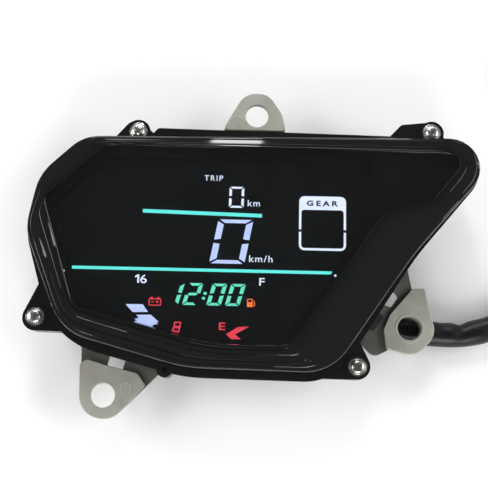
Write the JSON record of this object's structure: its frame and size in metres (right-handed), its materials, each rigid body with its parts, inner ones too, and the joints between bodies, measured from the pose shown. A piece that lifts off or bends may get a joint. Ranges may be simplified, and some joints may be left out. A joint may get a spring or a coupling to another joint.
{
  "type": "instrument cluster",
  "caption": "Motorcycle LCD instrument cluster with a smoked lens, steel stay with three mounting ears and a sleeved harness ending in a latched connector.",
  "frame": {"origin": "on the surface it rests on, under the middle of the object without its harness", "axes": "+X across the display to its right, +Y to the display's top edge, +Z out of the display's face"},
  "size_m": [0.2519, 0.1788, 0.04],
  "materials": {
    "smoked_lens": "clear smoked hard-coated plastic",
    "mask_black": "satin black",
    "gloss_black": "gloss black",
    "case_black": "fine-textured black",
    "seal_rubber": "matt rubber",
    "opal": "opal white",
    "polariser": "dark film",
    "display_glass": "float glass",
    "white_plastic": "white",
    "board_green": "solder mask",
    "led_white": "clear",
    "chip_black": "moulded",
    "capacitor_can": "plain can",
    "connector_white": "natural",
    "connector_black": "moulded",
    "terminal_brass": "tin-plated brass",
    "zinc_steel": "bright zinc plate",
    "stay_steel": "zinc plate, dull",
    "ear_steel": "zinc plate, light",
    "breather_grey": "porous membrane",
    "sleeve_black": "wrinkled vinyl sleeve"
  },
  "bodies": {
    "cluster": {"lens_cover": "smoked_lens", "inner_mask": "mask_black", "front_frame": "gloss_black", "main_seal": "seal_rubber", "rear_case": "case_black", "diffuser_plate": "opal", "rear_polariser": "polariser", "lcd_rear_glass": "display_glass", "lcd_front_glass": "display_glass", "front_polariser": "polariser", "reflector_tray": "white_plastic", "lcd_frame": "mask_black", "zebra_strip": "seal_rubber", "circuit_board": "board_green", "backlight_leds": "led_white", "microcontroller": "chip_black", "display_driver": "chip_black", "voltage_regulator": "chip_black", "filter_capacitors": "capacitor_can", "choke_coil": "chip_black", "small_components": "chip_black", "board_header": "connector_white", "header_pins": "terminal_brass", "board_plug": "connector_white", "inner_lead": "sleeve_black", "board_screws": "zinc_steel", "cover_screws": "zinc_steel", "stay_frame": "stay_steel", "top_ear_plate": "ear_steel", "left_ear_plate": "ear_steel", "right_ear_plate": "ear_steel", "right_ear_collar": "ear_steel", "stay_screws": "zinc_steel", "stay_washers": "zinc_steel", "breather_patch": "breather_grey", "cable_grommet": "seal_rubber", "harness_cable": "sleeve_black", "plug_boot": "seal_rubber", "plug_housing": "connector_black", "plug_terminals": "terminal_brass"},
    "latch": {"plug_latch": "connector_black"}
  },
  "joints": [
    {"name": "latch_press", "type": "hinge", "parent": "cluster", "child": "latch", "pos_m": [0.13431, 0.08908, 0.0123], "axis": [-0.9487, -0.3162, 0], "range_deg": [-5, 0], "stiffness_Nm_per_rad": 0.02}
  ]
}
